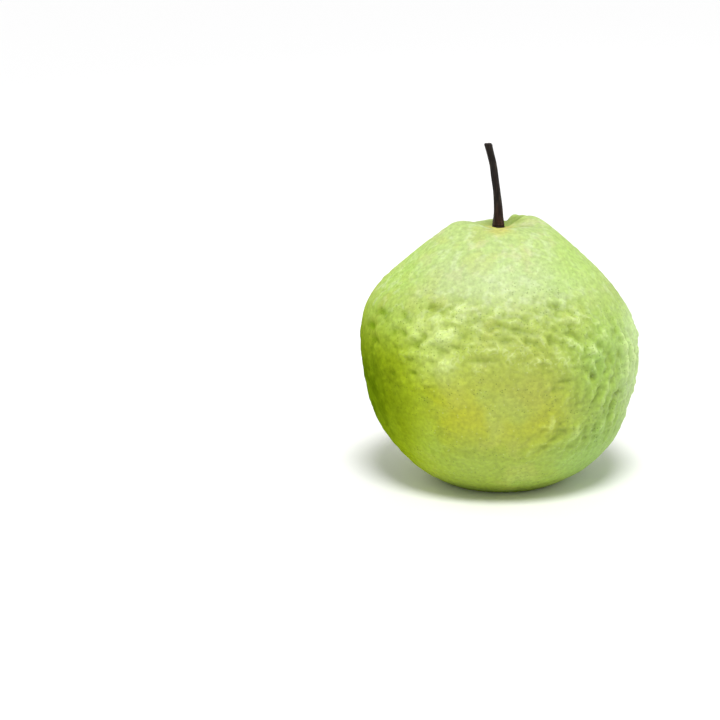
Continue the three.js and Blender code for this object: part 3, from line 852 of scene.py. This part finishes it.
def make_calyx():
    """The cup of sepals with its tuft of stamens, as one piece."""
    points, faces, tip, inside = sepal_cup()
    parts, all_faces, count = [points], list(faces), len(points)
    stamen_faces = grid_faces(STAMEN_ROWS, STAMEN_SIDES)
    draw = draws(STAMENS_SEED)
    for _ in range(STAMENS):
        turn, reach = 2 * math.pi * next(draw), math.sqrt(next(draw))
        way = np.array([math.cos(turn), math.sin(turn), 0])
        foot = STAMEN_RING * reach * way + (0, 0, CALYX_TOP - STAMEN_ROOT * CALYX_DEPTH)
        sideways = np.array([way[1], -way[0], 0]) * (2 * next(draw) - 1)
        bend = STAMEN_BEND * way + STAMEN_STRAY * sideways
        strand = stamen(foot, STAMEN_LEAN * reach * way, bend)
        parts.append(strand)
        all_faces += [tuple(i + count for i in face) for face in stamen_faces]
        count += len(strand)
    extra = count - len(points)
    calyx = new_piece("calyx_sepals", np.vstack(parts), all_faces, calyx_dried(), {
        "tip": np.r_[tip, np.full(extra, STAMEN_TIP)],
        "inside": np.r_[inside, np.ones(extra)],
    })
    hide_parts("calyx")


TABLE_SIZE = 12  # metres


def make_floor():
    mesh = bpy.data.meshes.new("table_top")
    half = TABLE_SIZE / 2
    mesh.from_pydata([(-half, -half, 0), (half, -half, 0), (half, half, 0), (-half, half, 0)], [],
                     [(0, 1, 2, 3)])
    mesh.materials.append(white_laminate())
    floor = bpy.data.objects.new("table_top", mesh)
    bpy.context.scene.collection.objects.link(floor)


# ---- Camera and light ------------------------------------------------------------------------

PICTURE_PX = 720  # the picture's width and height
FOCAL_PX = 2000
SENSOR_WIDTH = 36  # millimetres
CAMERA_DISTANCE = 0.682  # metres, as are the lights' places and sizes
CAMERA_ELEVATION = 14
CAMERA_SEES = (0.01, 50)  # nearest and furthest
AIM_HEIGHT = 44
AIM_PX = (501, 350)  # where the middle of the fruit stands in the picture


def make_camera():
    data = bpy.data.cameras.new("camera")
    data.sensor_width = SENSOR_WIDTH
    data.lens = SENSOR_WIDTH * FOCAL_PX / PICTURE_PX
    data.clip_start, data.clip_end = CAMERA_SEES
    camera = bpy.data.objects.new("camera", data)
    rise = math.radians(CAMERA_ELEVATION)
    back = Vector((0, -math.cos(rise), math.sin(rise)))
    aim = Vector((SHIFT[0], SHIFT[1], AIM_HEIGHT)) * MM
    camera.location = aim + back * CAMERA_DISTANCE
    yaw = math.atan((AIM_PX[0] - PICTURE_PX / 2) / FOCAL_PX)
    pitch = math.atan((PICTURE_PX / 2 - AIM_PX[1]) / FOCAL_PX)
    camera.rotation_mode = "QUATERNION"
    camera.rotation_quaternion = (
        (-back).to_track_quat("-Z", "Y")
        @ Quaternion((0, 1, 0), yaw) @ Quaternion((1, 0, 0), -pitch)
    )
    bpy.context.scene.collection.objects.link(camera)
    bpy.context.scene.camera = camera


# Name, place, width, height and watts of each soft box. All face the fruit.
SOFT_BOXES = [
    ("right_rear", (0.80, 0.30, 0.20), 0.3, 0.9, 3),
    ("left_rear", (-0.75, 0.50, 0.40), 0.3, 0.9, 3),
]
CEILING = 2.75  # a very soft sun stands for the studio's large ceiling light
CEILING_SPREAD = 20  # degrees
CEILING_FROM = (0.05, -0.45, 1.0)
ROOM = 0.4  # the even light from all sides


def hang(data, place, target):
    """A lamp at that place, facing the target."""
    lamp = bpy.data.objects.new(data.name, data)
    lamp.location = place
    towards = Vector(target) - lamp.location
    lamp.rotation_euler = towards.to_track_quat("-Z", "Y").to_euler()
    bpy.context.scene.collection.objects.link(lamp)


def make_lights():
    middle = (0, 0, AIM_HEIGHT * MM)
    ceiling = bpy.data.lights.new("ceiling", "SUN")
    ceiling.energy, ceiling.angle = CEILING, math.radians(CEILING_SPREAD)
    hang(ceiling, CEILING_FROM, middle)
    for name, place, width, height, watts in SOFT_BOXES:
        box = bpy.data.lights.new(name, "AREA")
        box.shape = "RECTANGLE"
        box.size, box.size_y, box.energy = width, height, watts
        hang(box, place, middle)
    world = bpy.data.worlds.new("studio")
    world.use_nodes = True
    background = world.node_tree.nodes["Background"].inputs
    background["Color"].default_value = linear("#ffffff")
    background["Strength"].default_value = ROOM
    bpy.context.scene.world = world
    bpy.context.scene.view_settings.view_transform = "Standard"


make_camera()
make_floor()
make_lights()
make_fruit()
make_stem()
make_calyx()
